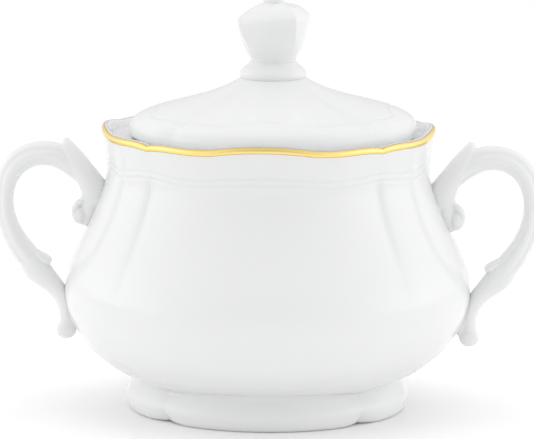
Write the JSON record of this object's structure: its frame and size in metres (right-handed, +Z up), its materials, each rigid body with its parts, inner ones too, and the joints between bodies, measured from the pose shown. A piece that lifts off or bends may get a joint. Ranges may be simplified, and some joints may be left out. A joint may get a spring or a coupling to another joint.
{
  "type": "sugar bowl",
  "caption": "Panelled round porcelain sugar bowl with a wavy gilt rim, scroll handles at the sides, a lobed foot and a lift-off domed lid with a bud knob.",
  "frame": {"origin": "on the table under the middle of the foot", "axes": "+Z up; the handles point along -X and +X; a plain panel faces -Y"},
  "size_m": [0.1404, 0.1048, 0.1083],
  "materials": {
    "porcelain": "clear gloss glaze over white porcelain",
    "gilding": "burnished fired gold"
  },
  "bodies": {
    "bowl": {"bowl_body": "porcelain", "foot_ring": "porcelain", "handle_left": "porcelain", "handle_right": "porcelain", "gilt_rim_band": "gilding"},
    "lid": {"lid_shell": "porcelain", "lid_flange": "porcelain", "knob_collar": "porcelain", "knob": "porcelain"}
  },
  "joints": [
    {"name": "lid_lift", "type": "slide", "parent": "bowl", "child": "lid", "axis": [0, 0, 1], "range_m": [0, 0.06]}
  ]
}
